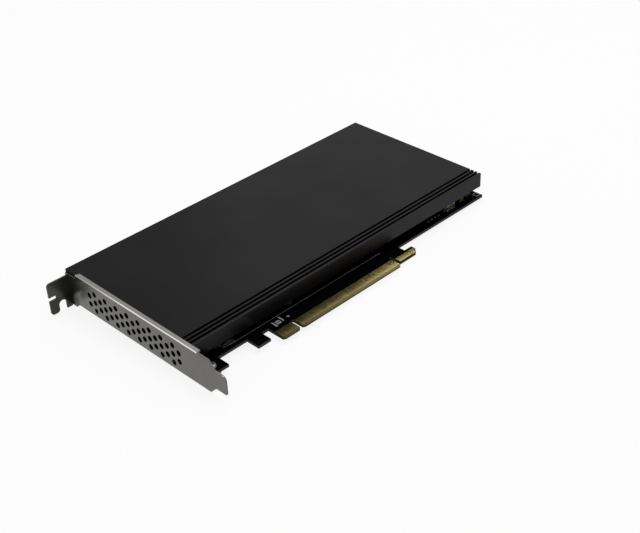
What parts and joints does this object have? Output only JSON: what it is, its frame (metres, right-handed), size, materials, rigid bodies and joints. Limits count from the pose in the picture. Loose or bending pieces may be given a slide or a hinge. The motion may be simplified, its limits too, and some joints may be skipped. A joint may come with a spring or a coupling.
{
  "type": "nvme adapter card",
  "caption": "Long expansion card with a gold edge and a vented slot bracket; a flat black cover plate lies over sockets for flat storage drives.",
  "frame": {"origin": "middle of the key notch at the tips of the edge contacts, on the board's component face", "axes": "+X along the card from the slot bracket to the far end, +Y from the contact tips to the card's top edge, +Z out of the component face through the cover"},
  "size_m": [0.227, 0.1226, 0.0226],
  "materials": {
    "board": "black solder mask over woven glass laminate, light cut edges",
    "gold_plating": "hard gold plating, dull olive gold",
    "nickel_steel": "nickel plated mild steel sheet, satin",
    "zinc_steel": "zinc plated steel",
    "black_screw": "black oxide steel",
    "black_anodised": "black anodised aluminium, fine satin",
    "brass_spacer": "nickel washed brass",
    "chip_carrier": "dark green laminate",
    "chip_lid": "bead blasted nickel plated copper",
    "heat_pad": "soft silicone heat pad, light blue grey",
    "socket_plastic": "black high temperature nylon",
    "contact_metal": "gold flashed copper alloy",
    "inductor_ferrite": "pressed ferrite powder, grey",
    "chip_plastic": "black moulded epoxy",
    "capacitor_ceramic": "tan ceramic with tinned ends",
    "capacitor_polymer": "dark moulded polymer capacitor",
    "resistor_film": "black glass film on alumina with tinned ends",
    "lamp_lens": "clear milky resin",
    "crystal_can": "seam welded metal can",
    "fuse_body": "white ceramic with tinned ends",
    "header_plastic": "black moulded plastic"
  },
  "bodies": {
    "root": {"printed_circuit_board": "board", "front_edge_contacts": "gold_plating", "back_edge_contacts": "gold_plating", "slot_bracket": "nickel_steel", "bracket_screws": "zinc_steel", "bracket_nuts": "zinc_steel", "cover_plate": "black_anodised", "cover_spacers": "brass_spacer", "cover_screws": "black_screw", "switch_chip_carrier": "chip_carrier", "switch_chip_lid": "chip_lid", "chip_heat_pad": "heat_pad", "power_inductors": "inductor_ferrite", "regulator_chips": "chip_plastic", "bulk_capacitors": "capacitor_polymer", "socket_capacitors": "capacitor_ceramic", "lane_capacitors": "capacitor_ceramic", "chip_capacitors": "capacitor_ceramic", "resistors": "resistor_film", "status_lights": "lamp_lens", "clock_chip": "chip_plastic", "crystal": "crystal_can", "memory_chip": "chip_plastic", "power_fuse": "fuse_body", "test_header_base": "header_plastic", "drive_socket_1": "socket_plastic", "socket_contacts_1": "contact_metal", "drive_socket_2": "socket_plastic", "socket_contacts_2": "contact_metal", "drive_socket_3": "socket_plastic", "socket_contacts_3": "contact_metal", "drive_socket_4": "socket_plastic", "socket_contacts_4": "contact_metal", "socket_clips": "contact_metal", "test_header_pins": "contact_metal"}
  },
  "joints": []
}
